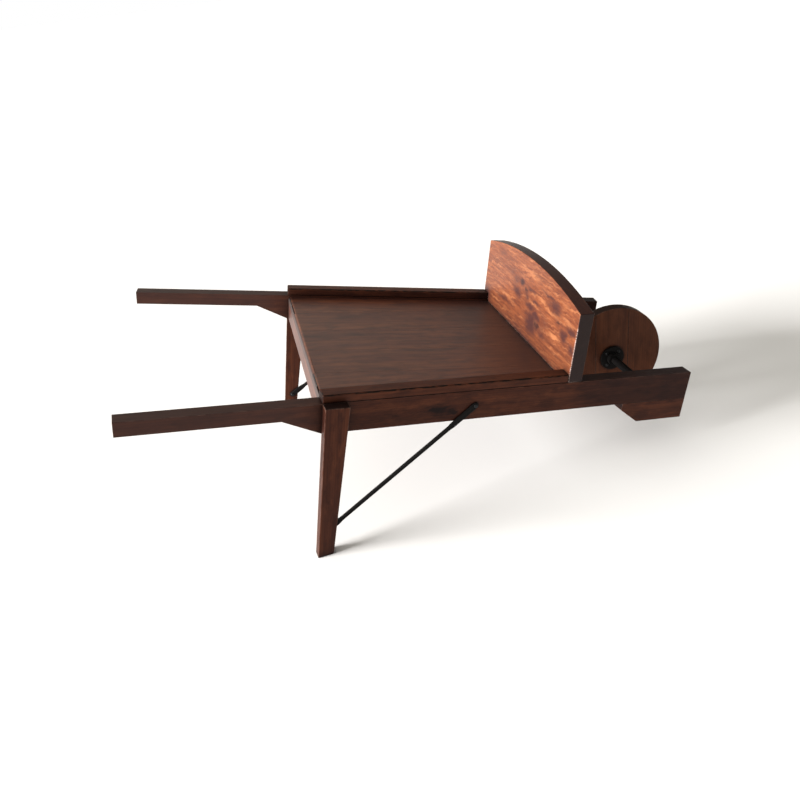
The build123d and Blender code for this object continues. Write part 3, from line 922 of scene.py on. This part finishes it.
headboard_wood = stained_wood(
    "headboard_knotty_pine",
    early=(0.120, 0.0315, 0.0105),
    late=(0.054, 0.0125, 0.0058),
    streak=(0.172, 0.0490, 0.0160),
    blotch=(0.032, 0.0088, 0.0075),
    ring_pitch=8.0 * MM,
    wander=22.0 * MM,
    streak_share=0.6,
    blotch_share=0.35,
    knots=(
        (-0.198, 0.011, 0.006),
        (-0.090, -0.041, 0.009),
        (0.035, 0.032, 0.009),
        (-0.002, 0.021, 0.006),
    ),
    stains=(
        (-0.173, 0.036, 0.052, 0.026, 1.1),
        (-0.150, 0.051, 0.080, 0.007, 1.0),
        (-0.268, 0.014, 0.036, 0.018, 1.2),
        (-0.240, -0.008, 0.032, 0.024, 1.2),
        (-0.288, -0.026, 0.024, 0.024, 0.9),
        (-0.050, -0.050, 0.058, 0.044, 1.4),
        (-0.078, -0.023, 0.038, 0.015, 1.4),
        (-0.035, -0.012, 0.060, 0.018, 1.0),
        (-0.005, 0.006, 0.024, 0.028, 0.8),
        (-0.030, 0.031, 0.050, 0.011, 1.0),
        (-0.062, 0.008, 0.056, 0.012, 0.9),
        (-0.125, -0.020, 0.050, 0.030, 0.6),
        (-0.120, -0.056, 0.040, 0.024, 0.7),
        (0.036, 0.032, 0.028, 0.018, 1.0),
        (0.075, 0.028, 0.055, 0.024, 0.7),
        (0.058, -0.003, 0.044, 0.022, 1.2),
        (0.110, 0.034, 0.050, 0.024, 0.6),
        (0.145, -0.053, 0.080, 0.010, 0.9),
        (0.188, 0.064, 0.055, 0.016, 0.6),
        (0.275, -0.080, 0.050, 0.034, 1.0),
        (0.000, -0.099, 0.320, 0.008, 0.8),
    ),
    flames=(
        (-0.195, -0.030, 0.055, 0.009, 1.2),
        (-0.076, -0.041, 0.012, 0.016, 1.1),
        (-0.250, 0.028, 0.060, 0.012, 0.8),
        (-0.160, 0.018, 0.070, 0.011, 0.9),
        (-0.100, 0.028, 0.045, 0.010, 0.9),
        (-0.050, -0.001, 0.055, 0.007, 0.9),
        (0.130, -0.038, 0.090, 0.009, 0.8),
        (-0.020, 0.068, 0.100, 0.016, 0.7),
        (-0.220, 0.062, 0.080, 0.014, 0.6),
        (0.220, 0.012, 0.090, 0.014, 0.5),
    ),
    flame=(0.265, 0.100, 0.040),
    edge_share=0.85,
    # Its lower arrises on the rear, window side take a pale painted highlight, with some wear.
    arris_wear_and_light_tone=(0.40, 0.29, 0.26),
    arris_share=0.7,
    arris_below=30.0 * MM,
    shade_share=0.4,
    gleam=0.25,
)
wheel_wood = stained_wood(
    "wheel_dark_stain",
    early=(0.082, 0.0260, 0.0115),
    late=(0.054, 0.0165, 0.0075),
    streak=(0.118, 0.0390, 0.0165),
    blotch=(0.036, 0.0110, 0.0058),
    ring_pitch=7.0 * MM,
)
iron = black_iron("black_enamelled_iron")
plated = screw_steel("plated_screws", (0.52, 0.50, 0.44), (0.34, 0.32, 0.28), 0.3)
blackened = screw_steel("blackened_screws", (0.03, 0.03, 0.032), (0.015, 0.015, 0.016), 0.4)
bush_metal = screw_steel("plain_bush_steel", (0.42, 0.42, 0.42), (0.25, 0.24, 0.23), 0.35)
beech = bare_beech("bare_beech")

# --- The boards -------------------------------------------------------------------------------
for side in ("right", "left"):
    dressed_board(f"{side}_beam", beam_wood, "frame_wood", arris=2.2 * MM)
    dressed_board(f"{side}_side_rail", rail_wood, "frame_wood", arris=3.0 * MM)
    dressed_board(f"{side}_nose_block", frame_wood, "frame_wood", arris=1.6 * MM)
    dressed_board(f"{side}_leg", leg_wood, "frame_wood", arris=1.6 * MM)
for part in ("middle_cross_rail", "front_cross_rail"):
    dressed_board(part, frame_wood, "frame_wood", arris=1.2 * MM)
dressed_board("rear_apron", apron_wood, "frame_wood", arris=1.2 * MM)
planks = sorted(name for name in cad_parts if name.startswith("deck_plank_"))
for part in planks:
    dressed_board(part, deck_wood, "deck_wood", arris=0.35 * MM)

dressed_board(
    "headboard",
    headboard_wood,
    "headboard_wood",
    arris=2.0 * MM,
    arc=crown_arc("headboard"),
    pith=(0.03, 0.06),
)

# The wheel turns about the axle and its rim touches the floor.
axle_low, axle_high = (Vector(corner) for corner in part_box("axle"))
hub = (axle_low + axle_high) / 2
wheel_rim = (hub, Vector((0, 1, 0)), hub.z)
for part in ("wheel_stave_rear", "wheel_stave_middle", "wheel_stave_front"):
    dressed_board(part, wheel_wood, "wheel_wood", "wheel", 1.6 * MM, wheel_rim, (0.09, 0.03))

# --- Ironmongery: the axle, hub, stays and screws ---------------------------------------------
for side in ("right", "left"):
    forged_stay(side, iron)
    machined(f"{side}_hub_flange", iron, "black_iron", "wheel")
    machined(f"{side}_bush", bush_metal, "bush_steel", "frame")
machined("axle", iron, "black_iron", "wheel")
for node in ("leg_screws", "deck_screws", "headboard_screws", "nose_block_screws"):
    driven_screws(node, plated, "plated_screws", "frame", sunk_screw, 0.0)
driven_screws("stay_screws", blackened, "black_screws", "frame", domed_screw, DOMED_HEAD[1])
driven_screws("hub_screws", blackened, "black_screws", "wheel", domed_screw, DOMED_HEAD[1])
driven_screws("hub_set_screws", blackened, "black_screws", "wheel", grub_screw, 0.0, hub)

# --- Dowels: the frame's own shapes, in bare beech --------------------------------------------
for node in ("cross_rail_dowels", "rail_dowels", "wheel_dowels"):
    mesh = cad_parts[node].data
    mesh.materials.clear()
    mesh.materials.append(beech)

# --- Studio: floor, light and camera ----------------------------------------------------------
FLOOR_HALF = 200.0
WHITE = (1.0, 1.0, 1.0)
DIM_WALL = (0.16, 0.158, 0.15)
LIT_WALL = (0.84, 0.80, 0.72)
WINDOW_EDGES = (-0.62, 0.14)
WHITE_BAND_EDGES = (0.05, 0.09)
WINDOW_STRENGTH = 13.0
WINDOW_WIDTH = math.radians(28)
WINDOW_COLOUR = (1.0, 0.98, 0.96)
WINDOW_WAY = Vector((1.0, 0.03, -0.27))

floor_shape = bmesh.new()
bmesh.ops.create_grid(floor_shape, x_segments=8, y_segments=8, size=FLOOR_HALF)
floor_mesh = bpy.data.meshes.new("studio_floor")
floor_shape.to_mesh(floor_mesh)
floor_shape.free()
floor = bpy.data.objects.new("studio_floor", floor_mesh)
floor_paint = Paint(bpy.data.materials.new("studio_floor_paint"))
speckle = floor_paint.noise(floor_paint.node("ShaderNodeTexCoord", None, None, "Object"), 3.0)
floor_tone = floor_paint.mix(speckle, (0.70, 0.70, 0.70), (0.73, 0.73, 0.73))
floor_mesh.materials.append(
    floor_paint.finish({"Base Color": floor_tone, "Roughness": 0.85, "Specular IOR Level": 0.1})
)
bpy.context.scene.collection.objects.link(floor)

world = bpy.data.worlds.new("studio_world")
bpy.context.scene.world = world
room = Paint(world)
to_front, _, to_top = room.parts(room.node("ShaderNodeTexCoord", None, None, "Generated"))
window_side = (to_front * -1.0).between(*WINDOW_EDGES)
room_tone = room.mix(window_side, DIM_WALL, LIT_WALL)
room_tone = room.mix(to_top.between(*WHITE_BAND_EDGES), WHITE, room_tone)
seen = room.node("ShaderNodeLightPath", output="Is Camera Ray")
room_tone = room.mix(seen, room_tone, WHITE)
glow = room.node("ShaderNodeBackground", None, {"Color": room_tone, "Strength": 1.0})
room.node("ShaderNodeOutputWorld", None, {"Surface": glow})

window = bpy.data.lights.new("window_light", "SUN")
window.energy = WINDOW_STRENGTH
window.angle = WINDOW_WIDTH
window.color = WINDOW_COLOUR
window_lamp = bpy.data.objects.new("window_light", window)
window_lamp.rotation_euler = WINDOW_WAY.to_track_quat("-Z", "Y").to_euler()
bpy.context.scene.collection.objects.link(window_lamp)

CAMERA_PLACE = Vector((-0.3520, -1.7706, 1.1367))
CAMERA_WAY = Vector((0.1457, 0.8628, -0.4841))
CAMERA_ROLL = math.radians(7.56)
LENS = 34.855
SENSOR = 36.0

camera_data = bpy.data.cameras.new("camera")
camera_data.lens = LENS
camera_data.sensor_width = SENSOR
camera_data.clip_end = 100.0
camera = bpy.data.objects.new("camera", camera_data)
level_turn = CAMERA_WAY.to_track_quat("-Z", "Y").to_matrix().to_4x4()
roll = Matrix.Rotation(-CAMERA_ROLL, 4, "Z")
camera.matrix_world = Matrix.Translation(CAMERA_PLACE) @ level_turn @ roll
bpy.context.scene.collection.objects.link(camera)
bpy.context.scene.camera = camera
bpy.context.scene.view_settings.view_transform = "Standard"
